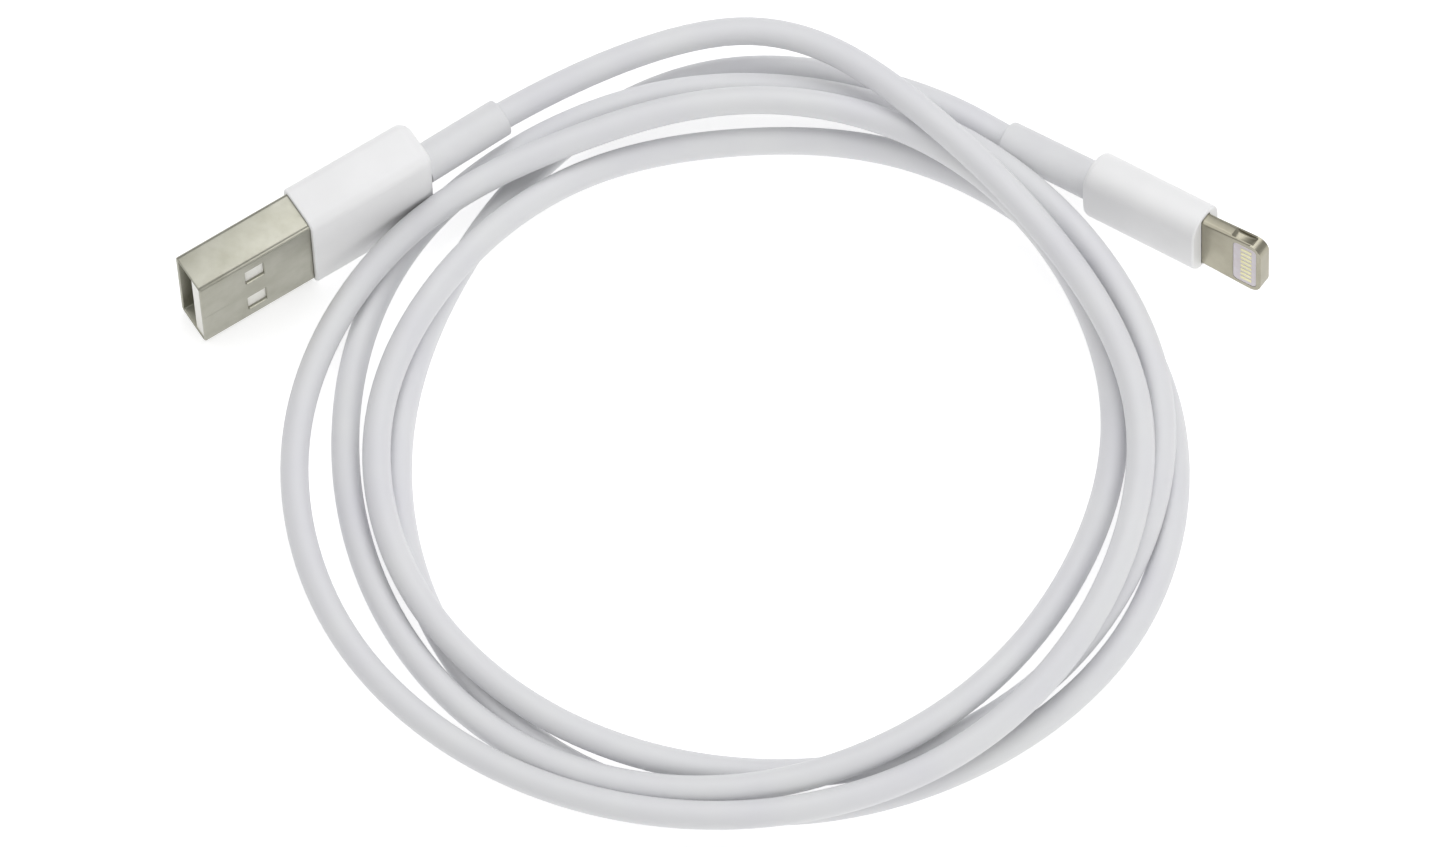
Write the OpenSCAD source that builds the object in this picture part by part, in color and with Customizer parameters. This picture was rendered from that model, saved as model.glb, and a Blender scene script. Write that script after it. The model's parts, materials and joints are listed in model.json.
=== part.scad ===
// Phone charging cable: a flat four-contact plug, a thin reversible tab plug and the cord between
// them, lying as a loose coil of just over four turns. Both plugs stand on their narrow edges.
// The coil is one plain solid of its outer shape.
// Frame: millimetres, +Z up, origin on the resting surface midway between the two plugs.

/* [Cord] */
// Outer diameter of the cord
cord_d = 2.8; // [2.6:0.1:2.8]
// Diameter of one insulated wire inside the cord
wire_d = 0.7; // [0.5:0.1:0.8]

/* [Flat plug] */
// Width of the metal shell
shell_w = 12; // [11.9:0.1:12.1]
// Thickness of the metal shell
shell_t = 4.5; // [4.4:0.1:4.6]
// Sheet thickness of the metal shell
shell_wall = 0.3; // [0.2:0.1:0.4]
// Length of shell that stands out of the housing
shell_exposed = 12.7; // [12:0.1:13]
// Distance from the mouth to the latch holes
latch_start = 5.16; // [5:0.08:5.4]
// Length of the housing
housing_l = 14.2; // [13.6:0.2:14.6]
// Width of the housing
housing_w = 13; // [12.8:0.1:13.2]
// Thickness of the housing
housing_t = 5.6; // [5.4:0.1:6]

/* [Tab plug] */
// Width of the tab
tab_w = 6.7; // [6.6:0.1:6.8]
// Thickness of the tab
tab_t = 1.5; // [1.4:0.1:1.6]
// Length of tab that stands out of the boot
tab_exposed = 6.9; // [6.6:0.1:7.1]
// Length of the boot
boot_l = 13.1; // [12.7:0.1:13.5]
// Width of the boot
boot_w = 7.7; // [7.6:0.1:8]
// Thickness of the boot
boot_t = 4.7; // [4.6:0.1:4.9]

/* [Strain reliefs] */
// Length of the flat plug's strain relief
usb_relief_l = 9.5; // [9:0.1:10]
// Length of the tab plug's strain relief
tab_relief_l = 10.3; // [9.8:0.1:10.8]
// Diameter where it leaves the plug
relief_d = 4; // [3.9:0.1:4.1]
// Diameter where the cord leaves it
relief_end_d = 3.9; // [3.6:0.1:3.9]

/* [Hidden] */
contact_count = 4;
pad_count = 8;

// Where the plugs lie
usb_mouth = [-52.49, -9.8, housing_w / 2];
usb_yaw = 33;
tab_face = [47.53, -2.79, 5.83];
tab_turn = [-9.5, -9.2, -33.4];
// The cord bends a little where it enters each plug
usb_cord_turn = 1.5;
tab_cord_turn = 0.5;

// Outline of the coil: the outer edge is where two discs overlap, each [x, y, radius] from the
// coil's centre, and the hole is a third
coil_centre = [1.33, -20.27];
coil_h = 9.7;
coil_discs = [[-0.2, -3.8, 44.8], [0, 2, 47.5]];
coil_hole = [1, -4.2, 32.3];

// Flat plug, along its own +X from the mouth to the cord
cord_r = cord_d / 2;
fit = 0.02;
braid_r = 1.55;
crimp_r = 1.8;
shell_end = shell_exposed + 6.3;
housing_end = shell_exposed + housing_l;
usb_exit_x = housing_end + usb_relief_l;
shield_end = housing_end - 1.9;
// inside each plug the relief has a neck through the plug's end wall and a flange behind it
neck_r = 1.75;
neck_l = 0.8;
flange_r = 2.05;
flange_l = 1.7;
// the sleeve stands just clear of the end wall, as it leans with the cord
seat = 0.06;
// how far into each plug the jacket reaches, and where the crimp ring lies
jacket_in = 4.1;
usb_crimp = [2.5, 3.9];
tab_crimp = [1.8, 3];
jacket_start = housing_end - jacket_in;
cavity_t = shell_t - 2 * shell_wall;
cavity_w = shell_w - 2 * shell_wall;
tongue_t = 1.9;
tongue_face = -cavity_t / 2 + tongue_t;
// the contacts stand 0.1 proud of the tongue
contact_top = tongue_face + 0.1;
tongue_start = 0.15;
// chamfer that leads a socket's springs onto the contacts
tongue_lead = 0.4;
tongue_base = 12.5;
base_end = shell_exposed + 4.8;
contact_w = 1;
contact_t = 0.2;
contact_z = [-3.5, -1, 1, 3.5];
contact_start = [1, 2, 2, 1];
solder_end = base_end + 1.2;
tail_end = solder_end + 0.3;
wire_spread = [[-0.45, -0.45], [0.45, -0.45], [-0.45, 0.45], [0.45, 0.45]];
wire_colours = ["black", "green", "white", "red"];
solder_w = 0.9;
latch_hole = [2.15, 2.6];
latch_z = 2.9;
// seam of the rolled sheet, on the face beside the tongue
seam_z = [-0.65, -0.6];
seam_depth = 0.06;
// farther than any part of a plug
beyond = 60;

// Tab plug, along its own +X from the boot's front face to the tip
tab_rear = -4;
window = [3.6, 6.35];
window_w = 5.7;
board_t = 0.5;
board_w = 5.2;
board_rear = -6.4;
pad = [4.55, 5.8];
pad_w = 0.4;
pad_pitch = 0.62;
can_w = 6;
can_t = 3.8;
can_wall = 0.25;
can_end = -9.6;
tab_edge_r = 0.42;
scoop = [3.3, 5.9];
scoop_t = 1.06;
scoop_depth = 0.4;
tab_wire_z = [-1.8, -0.6, 0.6, 1.8];

function turn_z(a, v) = [v[0] * cos(a) - v[1] * sin(a), v[0] * sin(a) + v[1] * cos(a), v[2]];
// A point of the cord inside the tab plug, in the tab plug's own frame
function tab_cord_point(v) = [-boot_l, 0, 0] + turn_z(tab_cord_turn, v);

module at_usb() {
    translate(usb_mouth) rotate([0, 0, usb_yaw]) children();
}

module at_tab() {
    translate(tab_face) rotate(tab_turn) children();
}

// The cord's own axis at the end of each plug, within that plug's axes
module usb_bend() {
    translate([housing_end, 0, 0]) rotate([0, 0, usb_cord_turn]) children();
}

module tab_bend() {
    translate([-boot_l, 0, 0]) rotate([0, 0, tab_cord_turn]) children();
}

// A bar with a rounded rectangular section, along +X from x1 to x2
module bar(x1, x2, thickness, width, r) {
    translate([x1, 0, 0]) rotate([90, 0, 90]) linear_extrude(height = x2 - x1) {
        square([thickness - 2 * r, width], center = true);
        square([thickness, width - 2 * r], center = true);
        for (y = [-1, 1], z = [-1, 1])
            translate([y * (thickness / 2 - r), z * (width / 2 - r)]) circle(r = r, $fn = 32);
    }
}

module block(low, high) {
    translate(low) cube(high - low);
}

// Everything on one side of a plug's middle plane
module half_space(side) {
    translate([0, side * beyond / 2, 0]) cube([2 * beyond, beyond, beyond], center = true);
}

// A round rod along +X from x1 to x2
module rod_x(x1, x2, r) {
    translate([x1, 0, 0]) rotate([0, 90, 0]) cylinder(h = x2 - x1, r = r, $fn = 48);
}

// A ring along +X from x1 to x2
module ring_x(x1, x2, r_in, r_out) {
    difference() {
        rod_x(x1, x2, r_out);
        rod_x(x1 - 1, x2 + 1, r_in);
    }
}

// A round rod between two points
module rod(p1, p2, r) {
    v = p2 - p1;
    translate(p1) rotate([0, acos(v[2] / norm(v)), atan2(v[1], v[0])])
        cylinder(h = norm(v), r = r, $fn = 24);
}

// --- cord ---

module coil_disc(disc) {
    translate([coil_centre[0] + disc[0], coil_centre[1] + disc[1], 0])
        rotate_extrude($fn = 180) {
            square([disc[2] - cord_r, coil_h]);
            translate([0, cord_r]) square([disc[2], coil_h - cord_d]);
            for (z = [cord_r, coil_h - cord_r])
                translate([disc[2] - cord_r, z]) circle(r = cord_r, $fn = 32);
        }
}

module cord_coil() {
    clear = 0.2;
    color("whitesmoke") difference() {
        intersection() {
            coil_disc(coil_discs[0]);
            coil_disc(coil_discs[1]);
        }
        translate([coil_centre[0] + coil_hole[0], coil_centre[1] + coil_hole[1], -1])
            cylinder(h = coil_h + 2, r = coil_hole[2], $fn = 180);
        at_usb() block([-1, -housing_t / 2 - clear, -beyond], [usb_exit_x, beyond, beyond]);
        at_tab() tab_bend()
            block([-tab_relief_l, -boot_t / 2 - clear, -beyond], [beyond, beyond, beyond]);
    }
}

// --- flat plug ---

module usb_shell() {
    color("silver") at_usb() difference() {
        bar(0, shell_end, shell_t, shell_w, 0.7);
        bar(-1, shell_end + 1, cavity_t, cavity_w, 0.4);
        for (z = [-latch_z, latch_z])
            block([latch_start, -shell_t, z - latch_hole[1] / 2],
                  [latch_start + latch_hole[0], shell_t, z + latch_hole[1] / 2]);
        block([-1, -shell_t, seam_z[0]], [shell_exposed - 1, seam_depth - shell_t / 2, seam_z[1]]);
    }
}

module usb_contact_shape(i) {
    block([contact_start[i - 1], contact_top - contact_t, contact_z[i - 1] - contact_w / 2],
          [tail_end, contact_top, contact_z[i - 1] + contact_w / 2]);
}

module usb_tongue() {
    color("white") at_usb() difference() {
        intersection() {
            bar(tongue_start, base_end, cavity_t, cavity_w, 0.4);
            union() {
                block([0, -cavity_t / 2, -cavity_w / 2], [tongue_base, tongue_face, cavity_w / 2]);
                block([tongue_base, -cavity_t / 2, -cavity_w / 2],
                      [base_end, cavity_t / 2, cavity_w / 2]);
            }
        }
        translate([tongue_start, tongue_face, -cavity_w]) linear_extrude(height = 2 * cavity_w)
            polygon([[-1, -1 - tongue_lead], [1, 1 - tongue_lead], [-1, 1]]);
        for (i = [1:contact_count]) usb_contact_shape(i);
    }
}

module usb_contact(i) {
    color("gold") at_usb() usb_contact_shape(i);
}

function usb_wire_start(i) = [solder_end, contact_top + wire_d / 2, contact_z[i - 1]];
function usb_wire_end(i) = [jacket_start, wire_spread[i - 1][0], wire_spread[i - 1][1]];

// Each wire runs straight from its solder joint to the cord, cut square at both ends
module usb_wire_shape(i) {
    start = usb_wire_start(i);
    end = usb_wire_end(i);
    difference() {
        rod(start - (end - start), end + (end - start), wire_d / 2);
        block([-beyond, -beyond, -beyond], [start[0] + 0.05, beyond, beyond]);
        block([jacket_start - 0.05, -beyond, -beyond], [beyond, beyond, beyond]);
        block([start[0], -beyond, -beyond], [tail_end, contact_top, beyond]);
    }
}

module usb_wire(i) {
    color(wire_colours[i - 1]) at_usb() usb_wire_shape(i);
}

module usb_solder() {
    color("lightgray") at_usb() for (i = [1:contact_count])
        block([base_end + 0.2, contact_top, contact_z[i - 1] - solder_w / 2],
              [solder_end, contact_top + wire_d, contact_z[i - 1] + solder_w / 2]);
}

module usb_can() {
    difference() {
        bar(shell_end, shield_end, shell_t, shell_w, 0.7);
        bar(shell_end - 1, shield_end - 0.3, cavity_t, cavity_w, 0.4);
        usb_bend() rod_x(-jacket_in, 0, cord_r + fit);
    }
}

module usb_shield(side) {
    color("lightgray") at_usb() intersection() {
        usb_can();
        half_space(side);
    }
}

module usb_inner_mould() {
    color("ivory") at_usb() difference() {
        bar(shell_end + 0.1, jacket_start - 0.1, cavity_t - 0.1, cavity_w - 0.1, 0.4);
        for (i = [1:contact_count]) {
            usb_contact_shape(i);
            usb_wire_shape(i);
        }
    }
}

module usb_braid_end() {
    color("darkgray") at_usb() usb_bend()
        ring_x(-usb_crimp[1] - 0.1, -usb_crimp[0] + 0.1, cord_r, braid_r);
}

module usb_crimp_ring() {
    color("silver") at_usb() usb_bend()
        ring_x(-usb_crimp[1], -usb_crimp[0], braid_r + fit, crimp_r);
}

module usb_cord_end() {
    color("whitesmoke") at_usb() usb_bend() rod_x(-jacket_in, usb_relief_l, cord_r);
}

module usb_housing() {
    chamfer = 0.7;
    color("white") at_usb() difference() {
        union() {
            bar(shell_exposed, housing_end - chamfer, housing_t, housing_w, 1.6);
            hull() {
                bar(housing_end - chamfer, housing_end - chamfer + 0.01, housing_t, housing_w, 1.6);
                bar(housing_end - 0.01, housing_end, housing_t - 2 * chamfer,
                    housing_w - 2 * chamfer, 1.2);
            }
        }
        bar(shell_exposed - 1, shield_end + 0.1, shell_t + 2 * fit, shell_w + 2 * fit, 0.7);
        usb_bend() relief_hole();
    }
}

// Sleeve along +X with its neck and flange behind it, bored for the cord
module relief_shape(length) {
    lip = 0.35;
    rotate([0, 90, 0]) rotate_extrude($fn = 64) polygon([
        [cord_r, -flange_l], [flange_r, -flange_l], [flange_r, -neck_l], [neck_r, -neck_l],
        [neck_r, seat], [relief_d / 2, seat], [relief_end_d / 2, length - lip],
        [relief_end_d / 2 - lip / 2, length], [cord_r, length]
    ]);
}

// The stepped hole in a plug's end wall that holds the neck and the flange
module relief_hole() {
    rod_x(-flange_l - 0.2, -neck_l + fit, flange_r + fit);
    rod_x(-neck_l, 1, neck_r + fit);
}

module usb_strain_relief() {
    color("gainsboro") at_usb() usb_bend() relief_shape(usb_relief_l);
}

// --- tab plug ---

module tab_outline(x1, x2, r) {
    rotate([90, 0, 0]) translate([0, 0, -tab_t / 2]) linear_extrude(height = tab_t) {
        translate([x1, -tab_w / 2]) square([x2 - r - x1, tab_w]);
        translate([x1, r - tab_w / 2]) square([x2 - x1, tab_w - 2 * r]);
        for (z = [-1, 1]) translate([x2 - r, z * (tab_w / 2 - r)]) circle(r = r, $fn = 48);
    }
}

// The scoop in a narrow edge that the socket's spring snaps into
module tab_scoop(side) {
    rotate([90, 0, 0]) translate([0, 0, -scoop_t / 2]) linear_extrude(height = scoop_t)
        polygon([
            [scoop[0], side * (tab_w / 2 + 0.01)],
            [scoop[0] + scoop_depth, side * (tab_w / 2 - scoop_depth)],
            [scoop[1] - scoop_depth, side * (tab_w / 2 - scoop_depth)],
            [scoop[1], side * (tab_w / 2 + 0.01)]
        ]);
}

module tab_frame() {
    color("silver") at_tab() difference() {
        intersection() {
            tab_outline(tab_rear, tab_exposed, 1.3);
            bar(tab_rear, tab_exposed, tab_t, tab_w, tab_edge_r);
        }
        for (side = [-1, 1]) tab_scoop(side);
        block([window[0], -tab_t, -window_w / 2], [window[1], tab_t, window_w / 2]);
        block([tab_rear - 1, -board_t / 2 - fit, -board_w / 2 - fit],
              [window[1], board_t / 2 + fit, board_w / 2 + fit]);
    }
}

function pad_z(i) = (i - (pad_count + 1) / 2) * pad_pitch;

module tab_pad(i, side) {
    low = side > 0 ? board_t / 2 : -tab_t / 2;
    block([pad[0], low, pad_z(i) - pad_w / 2],
          [pad[1], low + (tab_t - board_t) / 2, pad_z(i) + pad_w / 2]);
}

module tab_insulator(side) {
    skin = 0.04;
    low = side > 0 ? board_t / 2 : skin - tab_t / 2;
    color("mistyrose") at_tab() difference() {
        block([window[0], low, -window_w / 2],
              [window[1], low + (tab_t - board_t) / 2 - skin, window_w / 2]);
        for (i = [1:pad_count]) tab_pad(i, side);
    }
}

module tab_contact(i, side) {
    color("gold") at_tab() tab_pad(i, side);
}

module tab_circuit_board() {
    color("darkgreen") at_tab()
        block([board_rear, -board_t / 2, -board_w / 2], [window[1] - 0.1, board_t / 2, board_w / 2]);
}

module tab_chips() {
    color("dimgray") at_tab() {
        block([-5.9, board_t / 2, -1.9], [-4.3, board_t / 2 + 0.5, 0.1]);
        block([-5.6, board_t / 2, 0.7], [-4.4, board_t / 2 + 0.4, 1.9]);
    }
}

function tab_wire_start(i) = [board_rear + 0.3, -board_t / 2 - wire_d / 2 - 0.1, tab_wire_z[i - 1]];
function tab_wire_end(i) = tab_cord_point([jacket_in, wire_spread[i - 1][0], wire_spread[i - 1][1]]);

module tab_wire_shape(i) {
    start = tab_wire_start(i);
    end = tab_wire_end(i);
    difference() {
        rod(start - 0.5 * (end - start), end + (end - start), wire_d / 2);
        block([start[0], -beyond, -beyond], [beyond, beyond, beyond]);
        block([-beyond, -beyond, -beyond], [end[0] + 0.1, beyond, beyond]);
        block([board_rear - 0.05, -board_t / 2, -board_w / 2], [0, board_t / 2, board_w / 2]);
    }
}

module tab_wire(i) {
    color(wire_colours[i - 1]) at_tab() tab_wire_shape(i);
}

module tab_solder() {
    color("lightgray") at_tab() for (z = tab_wire_z)
        block([board_rear + 0.35, -board_t / 2 - wire_d, z - solder_w / 2],
              [board_rear + 1.2, -board_t / 2, z + solder_w / 2]);
}

module tab_can() {
    difference() {
        bar(can_end, tab_rear, can_t, can_w, 1);
        bar(can_end + can_wall, tab_rear + 1, can_t - 2 * can_wall, can_w - 2 * can_wall, 0.8);
        tab_bend() rod_x(0, jacket_in, cord_r + fit);
    }
}

module tab_shield(side) {
    color("lightgray") at_tab() intersection() {
        tab_can();
        half_space(side);
    }
}

module tab_inner_mould() {
    color("ivory") at_tab() difference() {
        bar(tab_cord_point([jacket_in, 0, 0])[0] + 0.2, board_rear - 0.1, can_t - 2 * can_wall - 0.1,
            can_w - 2 * can_wall - 0.1, 0.8);
        for (i = [1:contact_count]) tab_wire_shape(i);
    }
}

module tab_braid_end() {
    color("darkgray") at_tab() tab_bend() ring_x(tab_crimp[0], tab_crimp[1] + 0.1, cord_r, braid_r);
}

module tab_crimp_ring() {
    color("silver") at_tab() tab_bend() ring_x(tab_crimp[0], tab_crimp[1], braid_r + fit, crimp_r);
}

module tab_cord_end() {
    color("whitesmoke") at_tab() tab_bend() rod_x(-tab_relief_l, jacket_in, cord_r);
}

module tab_boot() {
    corner = 1.9;
    round_off = 0.7;
    drawn_in = [0.6, 1.4];
    color("white") at_tab() difference() {
        union() {
            bar(-boot_l + round_off, 0, boot_t, boot_w, corner);
            hull() {
                bar(-boot_l + round_off, -boot_l + round_off + 0.01, boot_t, boot_w, corner);
                bar(-boot_l, -boot_l + 0.01, boot_t - drawn_in[0], boot_w - drawn_in[1], corner - 0.3);
            }
        }
        bar(can_end - 0.1, tab_rear + 0.1, can_t + 2 * fit, can_w + 2 * fit, 1);
        bar(tab_rear, 1, tab_t + 2 * fit, tab_w + 2 * fit, tab_edge_r + fit);
        tab_bend() {
            rotate([0, 0, 180]) relief_hole();
            rod_x(flange_l, tab_crimp[1] + 0.2, flange_r + fit);
        }
    }
}

module tab_strain_relief() {
    color("gainsboro") at_tab() tab_bend() rotate([0, 0, 180]) relief_shape(tab_relief_l);
}

cord_coil();
usb_shell();
usb_tongue();
for (i = [1:contact_count]) {
    usb_contact(i);
    usb_wire(i);
    tab_wire(i);
}
usb_solder();
usb_shield(-1);  // usb_shield_near
usb_shield(1);  // usb_shield_far
usb_inner_mould();
usb_braid_end();
usb_crimp_ring();
usb_cord_end();
usb_housing();
usb_strain_relief();
tab_frame();
tab_insulator(-1);  // tab_insulator_near
tab_insulator(1);  // tab_insulator_far
tab_circuit_board();
tab_chips();
for (i = [1:pad_count]) {
    tab_contact(i, -1);
    tab_contact(i, 1);
}
tab_solder();
tab_shield(-1);  // tab_shield_near
tab_shield(1);  // tab_shield_far
tab_inner_mould();
tab_braid_end();
tab_crimp_ring();
tab_cord_end();
tab_boot();
tab_strain_relief();
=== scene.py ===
"""Charging cable: camera, cord, plug pieces in detail, materials, floor and light."""
import json
import math

import bmesh
import bpy
import numpy as np
from mathutils import Matrix, Vector


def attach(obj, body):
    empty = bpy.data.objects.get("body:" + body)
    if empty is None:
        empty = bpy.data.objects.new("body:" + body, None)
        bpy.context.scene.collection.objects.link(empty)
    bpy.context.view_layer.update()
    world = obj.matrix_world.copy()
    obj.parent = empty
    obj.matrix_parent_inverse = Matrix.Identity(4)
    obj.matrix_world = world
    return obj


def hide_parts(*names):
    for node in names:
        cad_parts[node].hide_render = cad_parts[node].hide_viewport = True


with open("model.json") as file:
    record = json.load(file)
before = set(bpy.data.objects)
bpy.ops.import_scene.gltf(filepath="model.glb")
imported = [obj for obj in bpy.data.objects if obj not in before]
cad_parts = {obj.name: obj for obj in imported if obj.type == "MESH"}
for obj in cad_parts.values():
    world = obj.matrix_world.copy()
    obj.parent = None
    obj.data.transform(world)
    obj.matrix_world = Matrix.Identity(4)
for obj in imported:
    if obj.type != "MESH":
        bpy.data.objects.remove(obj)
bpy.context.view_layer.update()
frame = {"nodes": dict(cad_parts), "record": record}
MM = 0.001
MOUNTS = {mount["name"]: mount for mount in frame["record"]["mounts"]}


# --- camera ---

CAMERA_TARGET = Vector((-0.17, -20.27, 0)) * MM
CAMERA_ELEVATION = math.radians(66)
CAMERA_DISTANCE = 0.9
LENS, SENSOR_WIDTH = 227.6, 36


def add_camera():
    """A long lens, well above the surface, looking along +Y."""
    data = bpy.data.cameras.new("camera")
    data.sensor_width = SENSOR_WIDTH
    data.lens = LENS
    camera = bpy.data.objects.new("camera", data)
    back = Vector((0, -math.cos(CAMERA_ELEVATION), math.sin(CAMERA_ELEVATION)))
    camera.location = CAMERA_TARGET + CAMERA_DISTANCE * back
    camera.rotation_euler = (math.pi / 2 - CAMERA_ELEVATION, 0, 0)
    bpy.context.collection.objects.link(camera)
    bpy.context.scene.camera = camera


add_camera()


# --- sizes of the two plugs, in millimetres along each plug's own axes ---

SHELL_T, SHELL_W = 4.5, 12.0
SHELL_WALL = 0.3
SHELL_EXPOSED = 12.7
HOLE_START, HOLE_L, HOLE_W, HOLE_Z = 5.16, 2.15, 2.6, 2.9
HOUSING_T, HOUSING_W, HOUSING_L = 5.6, 13.0, 14.2
HOUSING_END = SHELL_EXPOSED + HOUSING_L
BOOT_T, BOOT_W, BOOT_L = 4.7, 7.7, 13.1
TAB_T, TAB_W, TAB_EXPOSED = 1.5, 6.7, 6.9
WINDOW_START, WINDOW_END, WINDOW_W = 3.65, 6.35, 5.7
USB_RELIEF_L, TAB_RELIEF_L = 9.5, 10.3
RELIEF_R, RELIEF_END_R = 2.0, 1.95
USB_CORD_TURN, TAB_CORD_TURN = math.radians(1.5), math.radians(0.5)
CORD_D = 2.8
# how far the cord goes on inside each sleeve's end
CORD_INSIDE = 4


def plug_place(origin, forward, side):
    """The matrix from a plug's own axes, in millimetres, to the shared frame, in metres."""
    forward = forward.normalized()
    side = (side - forward * side.dot(forward)).normalized()
    axes = Matrix((forward, side, forward.cross(side))).transposed().to_4x4()
    return Matrix.Translation(origin) @ axes @ Matrix.Scale(MM, 4)


def usb_place():
    """The flat plug's axes: x from the mouth toward the cord, z up its wide side."""
    mount = MOUNTS["usb_plug"]
    forward = -Vector(mount["axis"])
    return plug_place(Vector(mount["pos_m"]), forward, Vector((0, 0, 1)).cross(forward))


def tab_place():
    """The tab plug's axes: x from the boot's face toward the tip, z along the tab's width."""
    mount = MOUNTS["tab_plug"]
    forward = Vector(mount["axis"])
    origin = Vector(mount["pos_m"]) - forward * TAB_EXPOSED * MM
    return plug_place(origin, forward, Vector(MOUNTS["tab_shoulder"]["pos_m"]) - origin)


USB = usb_place()
TAB = tab_place()
USB_SLEEVE = USB @ Matrix.Translation((HOUSING_END, 0, 0)) @ Matrix.Rotation(USB_CORD_TURN, 4, "Z")
TAB_SLEEVE = TAB @ Matrix.Translation((-BOOT_L, 0, 0)) @ Matrix.Rotation(TAB_CORD_TURN, 4, "Z")


# --- cord ---

# The coil, clockwise from above, starting at its far side. Each turn has twelve points, one for
# each hour of a clock face: [distance from the coil's centre, height] of the cord's centreline.
# The first turn lies over the others and the last one on the surface.
COIL_CENTRE = Vector((1.33, -20.27, 0))
TURNS = (
    ((39.5, 7.4), (35.5, 8.2), (35.0, 7.4), (39.0, 6.0), (41.0, 5.6), (42.5, 5.2),
     (43.5, 5.4), (44.5, 4.4), (45.0, 2.6), (43.0, 2.6), (37.5, 4.8), (32.5, 6.0)),
    ((32.5, 6.0), (34.0, 5.4), (35.5, 4.4), (37.0, 2.8), (37.0, 3.2), (38.5, 5.0),
     (40.5, 4.8), (41.5, 3.6), (40.0, 2.0), (38.5, 1.7), (37.5, 1.9), (35.0, 4.4)),
    ((35.0, 4.0), (36.5, 3.2), (38.5, 4.2), (41.5, 4.2), (41.5, 2.6), (40.0, 2.2),
     (38.0, 2.8), (37.5, 4.0), (37.0, 4.2), (35.0, 4.0), (31.5, 4.4), (30.0, 2.8)),
    ((30.0, 1.6), (33.0, 1.6), (37.5, 1.5), (42.5, 1.5), (44.5, 1.5), (43.0, 1.5),
     (41.5, 1.5), (39.5, 1.5), (36.0, 1.5), (33.0, 1.5), (32.0, 1.5), (34.5, 1.5)),
    ((38.0, 1.6), (39.5, 2.0)),
)
HOUR = math.radians(30)
POINTS_PER_SPAN = 16


def coil_points():
    """The stations of the coil, in metres."""
    points = []
    for turn in TURNS:
        for hour, (radius, height) in enumerate(turn):
            way = Vector((math.sin(hour * HOUR), math.cos(hour * HOUR), 0))
            points.append(COIL_CENTRE + radius * way + Vector((0, 0, height)))
    return [point * MM for point in points]


def smooth_path(points, per_span):
    """A natural cubic spline through the points, which bends as an elastic cord does."""
    points = np.array(points, float)
    spans = np.sqrt(np.linalg.norm(np.diff(points, axis=0), axis=1))
    count = len(points)
    system = np.eye(count)
    right = np.zeros((count, 3))
    for i in range(1, count - 1):
        before, after = spans[i - 1], spans[i]
        system[i, i - 1:i + 2] = before, 2 * (before + after), after
        right[i] = 6 * ((points[i + 1] - points[i]) / after - (points[i] - points[i - 1]) / before)
    bend = np.linalg.solve(system, right)
    path = []
    for i, span in enumerate(spans):
        for step in range(per_span):
            gone = span * step / per_span
            left = span - gone
            path.append(
                (bend[i] * left ** 3 + bend[i + 1] * gone ** 3) / (6 * span)
                + (points[i] / span - bend[i] * span / 6) * left
                + (points[i + 1] / span - bend[i + 1] * span / 6) * gone
            )
    path.append(points[-1])
    return path


def make_cord():
    """The jacket, from inside one strain relief, round the coil and into the other one."""
    start = [USB_SLEEVE @ Vector((USB_RELIEF_L - inside, 0, 0)) for inside in (CORD_INSIDE, 0)]
    end = [TAB_SLEEVE @ Vector((inside - TAB_RELIEF_L, 0, 0)) for inside in (0, CORD_INSIDE)]
    path = smooth_path(start + coil_points() + end, POINTS_PER_SPAN)
    curve = bpy.data.curves.new("cord", "CURVE")
    curve.dimensions = "3D"
    curve.bevel_depth = 1
    curve.bevel_resolution = 7
    spline = curve.splines.new("POLY")
    spline.points.add(len(path) - 1)
    for point, place in zip(spline.points, path):
        point.co = (*place, 1)
        point.radius = CORD_D / 2 * MM
    spline.use_smooth = True
    cord = bpy.data.objects.new("cord", curve)
    bpy.context.collection.objects.link(cord)
    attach(cord, "root")
    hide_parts("cord_coil")
    return cord


CORD = make_cord()


# --- materials ---

class Nodes:
    """A material's node tree, with a short way to add and link nodes."""

    def __init__(self, name):
        self.material = bpy.data.materials.new(name)
        self.material.use_nodes = True
        self.tree = self.material.node_tree
        self.shader = self.tree.nodes["Principled BSDF"]
        self.place = self.add("ShaderNodeTexCoord").outputs["Object"]

    def add(self, kind, **inputs):
        node = self.tree.nodes.new(kind)
        for name, value in inputs.items():
            socket = node.inputs[name.replace("_", " ")]
            if isinstance(value, bpy.types.NodeSocket):
                self.tree.links.new(value, socket)
            else:
                socket.default_value = value
        return node

    def noise(self, size_mm, detail=3, stretch=None):
        """Noise whose blotches are about size_mm across, drawn out along an axis by stretch."""
        place = self.place
        if stretch:
            place = self.add("ShaderNodeMapping", Vector=place, Scale=stretch).outputs[0]
        node = self.add("ShaderNodeTexNoise", Vector=place, Scale=1 / (size_mm * MM), Detail=detail)
        return node.outputs["Fac"]

    def ramp(self, factor, low, high, start=0.3, end=0.7):
        """Runs from colour low to colour high as factor goes from start to end."""
        node = self.add("ShaderNodeValToRGB", Fac=factor)
        node.color_ramp.elements[0].position = start
        node.color_ramp.elements[0].color = (*low, 1)
        node.color_ramp.elements[1].position = end
        node.color_ramp.elements[1].color = (*high, 1)
        return node.outputs["Color"]

    def spread(self, factor, low, high):
        """Turns a factor of 0 to 1 into a number from low to high."""
        node = self.add("ShaderNodeMapRange", Value=factor)
        node.inputs["To Min"].default_value = low
        node.inputs["To Max"].default_value = high
        return node.outputs[0]

    def bump(self, height, depth_mm, strength=1.0):
        node = self.add("ShaderNodeBump", Height=height, Strength=strength, Distance=depth_mm * MM)
        self.tree.links.new(node.outputs[0], self.shader.inputs["Normal"])

    def set(self, **inputs):
        for name, value in inputs.items():
            socket = self.shader.inputs[name.replace("_", " ")]
            if isinstance(value, bpy.types.NodeSocket):
                self.tree.links.new(value, socket)
            else:
                socket.default_value = value


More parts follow.
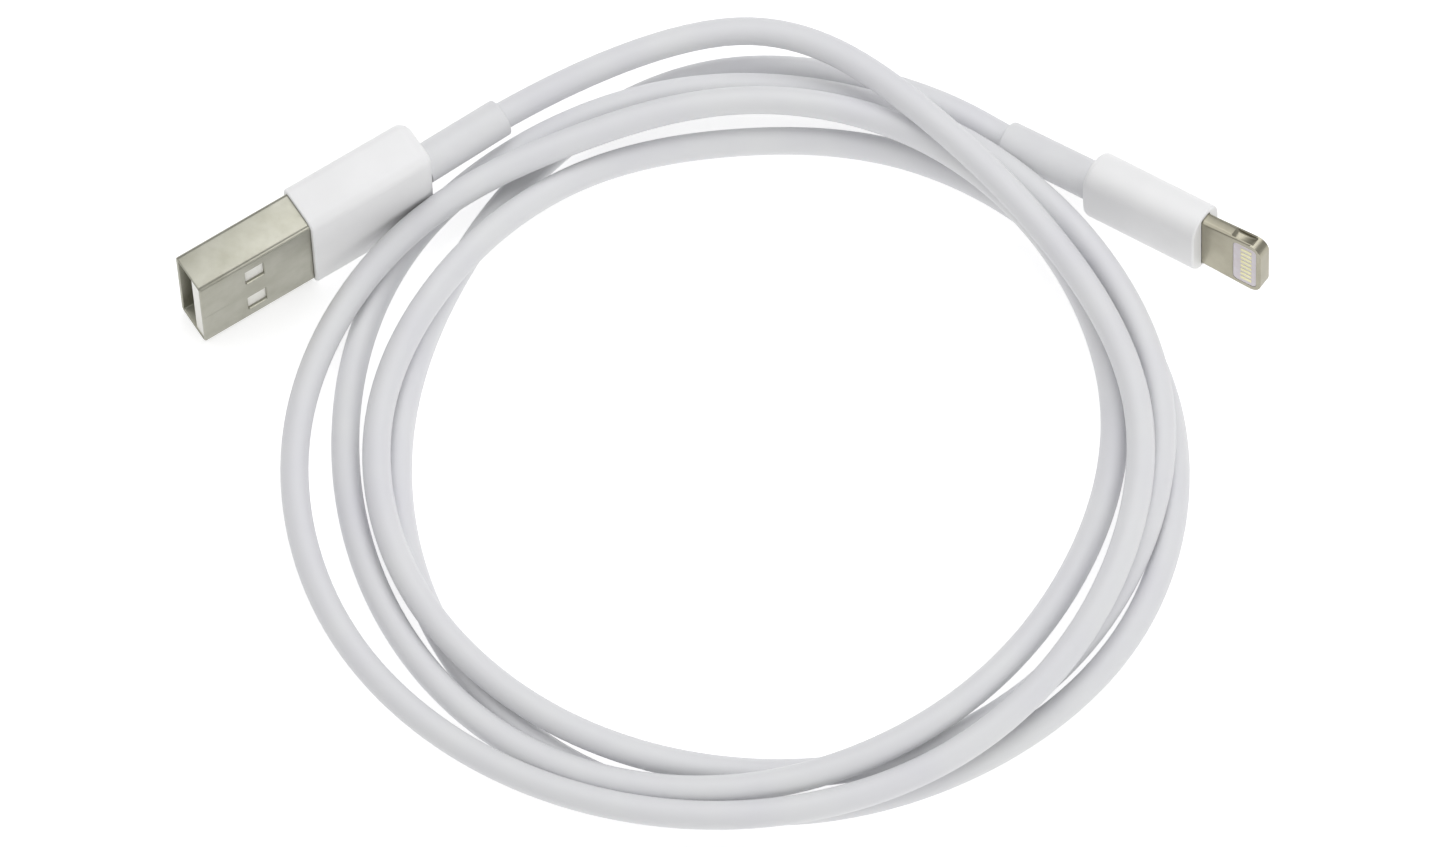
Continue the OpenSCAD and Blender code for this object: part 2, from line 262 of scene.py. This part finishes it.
def plastic(name, low, high, roughness, mottle_mm, grain_mm, grain_depth_mm, **more):
    """Moulded plastic: a slow drift between two shades, uneven gloss and a fine skin texture."""
    nodes = Nodes(name)
    mottle = nodes.noise(mottle_mm)
    grain = nodes.noise(grain_mm, detail=2)
    nodes.set(Base_Color=nodes.ramp(mottle, low, high),
              Roughness=nodes.spread(grain, roughness - 0.05, roughness + 0.07), **more)
    nodes.bump(grain, grain_depth_mm)
    return nodes.material


def metal(name, low, high, roughness, stretch=(1, 1, 1), grain_mm=0.12, grain_depth_mm=0.002):
    """Plated metal: fine rolled or blasted grain, faint stains and uneven gloss."""
    nodes = Nodes(name)
    stain = nodes.noise(2.5, detail=4)
    grain = nodes.noise(grain_mm, detail=3, stretch=stretch)
    nodes.set(Base_Color=nodes.ramp(stain, low, high), Metallic=1.0,
              Roughness=nodes.spread(grain, roughness - 0.06, roughness + 0.08))
    nodes.bump(grain, grain_depth_mm, 0.6)
    return nodes.material


JACKET = plastic("cord_jacket", (0.70, 0.70, 0.725), (0.735, 0.74, 0.745), 0.52, 9, 0.10, 0.003)
SLEEVE = plastic("sleeve_grey", (0.70, 0.70, 0.715), (0.735, 0.74, 0.745), 0.50, 4, 0.10, 0.003)
WHITE = plastic("housing_white", (0.83, 0.83, 0.83), (0.86, 0.86, 0.86), 0.42, 5, 0.15, 0.002)
CREAM = plastic("tongue_cream", (0.80, 0.79, 0.73), (0.84, 0.83, 0.78), 0.40, 2, 0.10, 0.002)
INSULATOR = plastic("pad_insulator", (0.66, 0.60, 0.62), (0.70, 0.67, 0.71), 0.35, 1, 0.06, 0.001)
MOULD = plastic("inner_mould", (0.72, 0.68, 0.55), (0.80, 0.76, 0.64), 0.45, 1.5, 0.10, 0.004)
BOARD = plastic("board", (0.02, 0.16, 0.07), (0.03, 0.22, 0.10), 0.30, 0.8, 0.08, 0.002)
CHIP = plastic("chip_black", (0.02, 0.02, 0.02), (0.035, 0.035, 0.035), 0.55, 0.5, 0.06, 0.003)
SHELL = metal("shell_nickel", (0.34, 0.335, 0.276), (0.408, 0.403, 0.345), 0.33, (0.2, 0.2, 1))
TAB_METAL = metal("tab_nickel", (0.34, 0.32, 0.25), (0.41, 0.39, 0.31), 0.30)
GOLD = metal("contact_gold", (0.66, 0.63, 0.38), (0.74, 0.71, 0.46), 0.35, grain_mm=0.05)
TIN = metal("shield_tin", (0.55, 0.55, 0.53), (0.62, 0.62, 0.60), 0.35)
STEEL = metal("crimp_steel", (0.50, 0.50, 0.50), (0.58, 0.58, 0.58), 0.28)
COPPER = metal("braid_copper", (0.55, 0.38, 0.28), (0.66, 0.48, 0.38), 0.35, grain_mm=0.2)
SOLDER = metal("solder", (0.62, 0.63, 0.64), (0.70, 0.71, 0.72), 0.2, grain_mm=0.3)
WIRES = [
    plastic("wire_black", (0.015, 0.015, 0.015), (0.03, 0.03, 0.03), 0.4, 1, 0.08, 0.002),
    plastic("wire_green", (0.02, 0.25, 0.06), (0.03, 0.32, 0.09), 0.4, 1, 0.08, 0.002),
    plastic("wire_white", (0.74, 0.74, 0.73), (0.80, 0.80, 0.79), 0.4, 1, 0.08, 0.002),
    plastic("wire_red", (0.48, 0.02, 0.02), (0.58, 0.03, 0.03), 0.4, 1, 0.08, 0.002),
]
CORD.data.materials.append(JACKET)


# --- mesh helpers: outlines and skins in a plug's own axes ---

def rounded_outline(thickness, width, radius, steps=7):
    """A rounded rectangle in (y, z), counter-clockwise."""
    radius = min(radius, thickness / 2 - 0.001, width / 2 - 0.001)
    points = []
    for quarter, (y_way, z_way) in enumerate(((1, 1), (-1, 1), (-1, -1), (1, -1))):
        for step in range(steps + 1):
            angle = math.radians(90) * (quarter + step / steps)
            points.append((y_way * (thickness / 2 - radius) + radius * math.cos(angle),
                           z_way * (width / 2 - radius) + radius * math.sin(angle)))
    return points


def add_piece(name, mesh, place, material, replaced):
    """Puts a bmesh made in a plug's own axes into the shared frame as a smooth-shaded piece that
    stands for the CAD piece named replaced."""
    bmesh.ops.recalc_face_normals(mesh, faces=mesh.faces)
    data = bpy.data.meshes.new(name)
    mesh.to_mesh(data)
    mesh.free()
    data.transform(place)
    piece = bpy.data.objects.new(name, data)
    bpy.context.collection.objects.link(piece)
    data.materials.append(material)
    data.shade_smooth()
    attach(piece, "root")
    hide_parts(replaced)
    return piece


def sharpen(piece, degrees=40):
    """Keeps edges sharper than this crisp, and leaves rounded ones smooth."""
    piece.data.set_sharp_from_angle(angle=math.radians(degrees))


def skin(sections, closed_loop=False, axis=0):
    """A skin through sections along an axis, each (place, outline in the other two axes), where
    every outline has the same number of points."""
    mesh = bmesh.new()
    rings = [[mesh.verts.new((a, place, b) if axis else (place, a, b)) for a, b in outline]
             for place, outline in sections]
    pairs = list(zip(rings, rings[1:]))
    if closed_loop:
        pairs.append((rings[-1], rings[0]))
    for ring, following in pairs:
        for k in range(len(ring)):
            n = (k + 1) % len(ring)
            mesh.faces.new((ring[k], ring[n], following[n], following[k]))
    if not closed_loop:
        mesh.faces.new(rings[0][::-1])
        mesh.faces.new(rings[-1])
    return mesh


def rounded_rim(x, way, thickness, width, radius, edge, inset, steps=6):
    """Sections up to a face at x that points along way, with its rim rounded over edge in x and
    inset = (in y, in z). They run from the full size to the inset one."""
    sections = []
    for step in range(steps + 1):
        angle = math.radians(90) * step / steps
        pulled = 1 - math.cos(angle)
        sections.append((x - way * edge * (1 - math.sin(angle)),
                         rounded_outline(thickness - 2 * inset[0] * pulled,
                                         width - 2 * inset[1] * pulled,
                                         radius - min(inset) * pulled / 2)))
    return sections


def cut(piece, mesh, place):
    """Takes a bmesh made in a plug's own axes out of the piece."""
    bmesh.ops.recalc_face_normals(mesh, faces=mesh.faces)
    data = bpy.data.meshes.new("cutter")
    mesh.to_mesh(data)
    mesh.free()
    data.transform(place)
    cutter = bpy.data.objects.new("cutter", data)
    bpy.context.collection.objects.link(cutter)
    modifier = piece.modifiers.new("cut", "BOOLEAN")
    modifier.operation = "DIFFERENCE"
    modifier.solver = "EXACT"
    modifier.object = cutter
    with bpy.context.temp_override(object=piece, active_object=piece):
        bpy.context.view_layer.objects.active = piece
        bpy.ops.object.modifier_apply(modifier=modifier.name)
    bpy.data.objects.remove(cutter)
    bpy.data.meshes.remove(data)


# --- strain reliefs ---

def make_relief(name, place, length, replaced):
    """A plain sleeve with its neck in the plug's end wall, a soft lip and the bore for the cord."""
    neck_r, neck_l, seat = 1.75, 0.8, 0.06
    lip, lip_in, lip_steps = 0.3, 0.21, 5
    bore, bore_l = CORD_D / 2 + 0.03, 3
    profile = [(-neck_l, neck_r), (seat, neck_r), (seat, RELIEF_R),
               (length / 2, (RELIEF_R + RELIEF_END_R) / 2), (length - lip, RELIEF_END_R)]
    for step in range(1, lip_steps + 1):
        angle = math.radians(90) * step / lip_steps
        profile.append((length - lip + lip * math.sin(angle),
                        RELIEF_END_R - lip_in * (1 - math.cos(angle))))
    profile += [(length - 0.02, bore), (length - bore_l, bore)]
    around = [math.tau * k / 64 for k in range(64)]
    sections = [(x, [(r * math.cos(angle), r * math.sin(angle)) for angle in around])
                for x, r in profile]
    piece = add_piece(name, skin(sections, closed_loop=True), place, SLEEVE, replaced)
    sharpen(piece, 60)


make_relief("usb_sleeve", USB_SLEEVE, USB_RELIEF_L, "usb_strain_relief")
make_relief("tab_sleeve", TAB_SLEEVE @ Matrix.Rotation(math.pi, 4, "Z"), TAB_RELIEF_L,
            "tab_strain_relief")


# --- flat plug ---

def make_usb_shell():
    """A folded sheet shell with a rounded mouth rim, latch holes and the seam of the sheet."""
    corner, steps = 0.45, 6
    inside_end = SHELL_EXPOSED + 0.5
    rim = SHELL_WALL / 2
    inner_t, inner_w = SHELL_T - 2 * SHELL_WALL, SHELL_W - 2 * SHELL_WALL
    inner = rounded_outline(inner_t, inner_w, corner - SHELL_WALL)
    sections = [(inside_end, inner), (rim, inner)]
    for step in range(1, steps + 1):
        angle = math.pi * step / steps
        grow = rim * (1 - math.cos(angle))
        sections.append((rim - rim * math.sin(angle),
                         rounded_outline(inner_t + 2 * grow, inner_w + 2 * grow,
                                         corner - SHELL_WALL + grow)))
    sections.append((inside_end, rounded_outline(SHELL_T, SHELL_W, corner)))
    piece = add_piece("usb_metal_shell", skin(sections, closed_loop=True), USB, SHELL,
                      "usb_shell")
    for side in (-1, 1):
        for z in (-HOLE_Z, HOLE_Z):
            cut(piece, latch_hole(side, z), USB)
    cut(piece, seam_groove(), USB)
    sharpen(piece)


def seam_groove():
    """The fine groove where the sheet's edges meet, which closes up behind the mouth."""
    middle, half_bottom, half_top = -0.625, 0.015, 0.02
    face = -SHELL_T / 2
    sections = []
    for x, depth in ((-1, 0.05), (1.5, 0.035), (3.2, 0.001)):
        sections.append((x, [(face - 0.1, middle - half_top), (face + depth, middle - half_bottom),
                             (face + depth, middle + half_bottom), (face - 0.1, middle + half_top)]))
    return skin(sections)


def latch_hole(side, z):
    """What is punched out for one latch hole, with its outer rim drawn in a little."""
    drawn, depth = 0.09, 0.09
    surface = side * SHELL_T / 2
    sections = []
    for y, grow in ((surface + side * 0.05, drawn * 1.5), (surface - side * depth, 0),
                    (surface - side * (SHELL_WALL + 0.1), 0)):
        outline = rounded_outline(HOLE_L + 2 * grow, HOLE_W + 2 * grow, 0.12 + grow, 3)
        sections.append((y, [(HOLE_START + HOLE_L / 2 + a, z + b) for a, b in outline]))
    return skin(sections, axis=1)


def make_usb_housing():
    """The white housing, with a fine recess round the shell and softly rounded rear corners."""
    corner, gap, recess = 1.15, 0.07, 0.5
    front_edge = 0.22
    rear_edge, rear_inset = 1.5, (1.1, 1.6)
    opening = rounded_outline(SHELL_T + 2 * gap, SHELL_W + 2 * gap, 0.7)
    sections = [(SHELL_EXPOSED + recess, opening), (SHELL_EXPOSED + 0.02, opening)]
    sections += rounded_rim(SHELL_EXPOSED, -1, HOUSING_T, HOUSING_W, corner, front_edge,
                            (front_edge, front_edge))[::-1]
    sections += rounded_rim(HOUSING_END, 1, HOUSING_T, HOUSING_W, corner, rear_edge, rear_inset, 10)
    piece = add_piece("usb_white_housing", skin(sections), USB, WHITE, "usb_housing")
    sharpen(piece, 50)


make_usb_shell()
make_usb_housing()


# --- tab plug ---

def make_tab_frame():
    """The metal frame: a plate with rounded edges and tip, a pocket for the contacts on each face
    and a scoop in each narrow edge that the socket's springs snap into."""
    root, tip_r, edge_r, steps = -1.0, 1.3, 0.42, 10
    pocket_depth = 0.25
    half = TAB_W / 2
    side = [(root, half)]
    for step in range(steps + 1):
        angle = math.radians(90) * (1 - step / steps)
        side.append((TAB_EXPOSED - tip_r + tip_r * math.cos(angle),
                     half - tip_r + tip_r * math.sin(angle)))
    outline = side + [(x, -z) for x, z in reversed(side)]
    mesh = skin([(-TAB_T / 2, outline), (TAB_T / 2, outline)], axis=1)
    rims = [edge for edge in mesh.edges
            if abs(edge.verts[0].co.y - edge.verts[1].co.y) < 0.01]
    bmesh.ops.bevel(mesh, geom=rims, offset=edge_r, segments=7, profile=0.5, affect="EDGES")
    piece = add_piece("tab_metal_frame", mesh, TAB, TAB_METAL, "tab_frame")
    for way in (-1, 1):
        pocket = [(way * (TAB_T / 2 + 0.1), pocket_outline(0)),
                  (way * (TAB_T / 2 - pocket_depth), pocket_outline(0))]
        cut(piece, skin(pocket, axis=1), TAB)
        cut(piece, skin(scoop_sections(way * half)), TAB)
    sharpen(piece, 35)


# The scoop in the tab's narrow edge: [place along the tab, depth]
SCOOP = ((3.3, 0.01), (3.55, 0.22), (3.8, 0.36), (4.3, 0.40), (5.0, 0.38), (5.5, 0.24), (5.85, 0.01))
SCOOP_T = 1.06


def scoop_sections(z):
    """What is milled out of the narrow edge at z."""
    return [(x, [(a, z + b) for a, b in rounded_outline(SCOOP_T, 2 * depth, 0.22)])
            for x, depth in SCOOP]


def pocket_outline(inset):
    """The window for the contacts on a face, with a gap all round of inset."""
    middle, length = (WINDOW_START + WINDOW_END) / 2, WINDOW_END - WINDOW_START
    outline = rounded_outline(length - 2 * inset, WINDOW_W - 2 * inset, 0.5)
    return [(middle + a, b) for a, b in outline]


def make_insulator(side, replaced):
    """The moulded insulator that fills a pocket, just below the metal's face."""
    sunk, thickness, edge, gap = 0.02, 0.2, 0.04, 0.01
    out = side * (TAB_T / 2 - sunk)
    sections = [(out - side * thickness, pocket_outline(gap)),
                (out - side * edge, pocket_outline(gap)), (out, pocket_outline(3 * gap))]
    piece = add_piece("tab_pad_insulator_" + ("far" if side > 0 else "near"),
                      skin(sections, axis=1), TAB, INSULATOR, replaced)
    sharpen(piece)


def make_boot():
    """The white boot: a soft oblong section, rounded over at the cord, with a slot for the tab."""
    corner, gap, recess = 2.1, 0.05, 0.5
    front_edge = 0.25
    rear_edge, rear_inset = 0.7, (0.3, 0.8)
    opening = rounded_outline(TAB_T + 2 * gap, TAB_W + 2 * gap, 0.25)
    sections = [(-recess, opening), (-0.02, opening)]
    sections += rounded_rim(0, 1, BOOT_T, BOOT_W, corner, front_edge,
                            (front_edge, front_edge))[::-1]
    sections += rounded_rim(-BOOT_L, -1, BOOT_T, BOOT_W, corner, rear_edge, rear_inset, 8)
    piece = add_piece("tab_white_boot", skin(sections), TAB, WHITE, "tab_boot")
    sharpen(piece, 50)


make_tab_frame()
make_insulator(-1, "tab_insulator_near")
make_insulator(1, "tab_insulator_far")
make_boot()


# --- materials of the CAD pieces ---

def paint(names, material):
    """Gives the named CAD pieces the material in place of their own."""
    for name in names:
        data = frame["nodes"][name].data
        data.materials.clear()
        data.materials.append(material)


PLUGS = ("usb", "tab")
paint(["usb_tongue"], CREAM)
paint([f"usb_contact_{i}" for i in range(1, 5)], GOLD)
paint([f"tab_contact_{side}_{i}" for side in ("near", "far") for i in range(1, 9)], GOLD)
paint(["cord_coil"], JACKET)
for ending, material in (("solder", SOLDER), ("shield_near", TIN), ("shield_far", TIN),
                         ("inner_mould", MOULD), ("braid_end", COPPER), ("crimp_ring", STEEL),
                         ("cord_end", JACKET), ("strain_relief", SLEEVE)):
    paint([f"{plug}_{ending}" for plug in PLUGS], material)
paint(["usb_housing", "tab_boot"], WHITE)
paint(["usb_shell"], SHELL)
paint(["tab_frame"], TAB_METAL)
paint(["tab_insulator_near", "tab_insulator_far"], INSULATOR)
paint(["tab_circuit_board"], BOARD)
paint(["tab_chips"], CHIP)
for plug in PLUGS:
    for number, material in enumerate(WIRES, 1):
        paint([f"{plug}_wire_{number}"], material)


# --- floor and light ---

FLOOR_GLOW = 0.62
SKY = 0.47
LIT_POINT = Vector((0, -0.02, 0))


def add_floor():
    """A pale floor that glows faintly, so that the shadows on it stay soft and light."""
    mesh = bmesh.new()
    bmesh.ops.create_grid(mesh, x_segments=1, y_segments=1, size=3)
    data = bpy.data.meshes.new("floor")
    mesh.to_mesh(data)
    mesh.free()
    floor = bpy.data.objects.new("floor", data)
    bpy.context.collection.objects.link(floor)
    nodes = Nodes("floor")
    nodes.set(Base_Color=nodes.ramp(nodes.noise(60), (0.58, 0.58, 0.58), (0.62, 0.62, 0.62)),
              Roughness=0.8, Emission_Color=(1, 1, 1, 1), Emission_Strength=FLOOR_GLOW)
    data.materials.append(nodes.material)


def add_light(name, place, size, power, colour=(1, 1, 1)):
    """A round soft light that points at the object."""
    data = bpy.data.lights.new(name, "AREA")
    data.shape = "DISK"
    data.size = size
    data.energy = power
    data.color = colour
    light = bpy.data.objects.new(name, data)
    light.location = place
    light.rotation_euler = (LIT_POINT - Vector(place)).to_track_quat("-Z", "Y").to_euler()
    bpy.context.collection.objects.link(light)


def add_studio():
    """An even white sky and three soft lights."""
    world = bpy.data.worlds.new("studio")
    world.use_nodes = True
    background = world.node_tree.nodes["Background"]
    background.inputs["Color"].default_value = (1, 1, 1, 1)
    background.inputs["Strength"].default_value = SKY
    bpy.context.scene.world = world
    bpy.context.scene.view_settings.view_transform = "Standard"
    add_light("key", (0.13, 0.27, 0.65), 0.75, 2.4, (0.98, 0.98, 1))
    add_light("fill", (-0.35, 0.0, 0.6), 0.5, 0.6)
    add_light("front", (0.42, -0.42, 0.30), 0.4, 0.8)


add_floor()
add_studio()

bpy.context.view_layer.update()
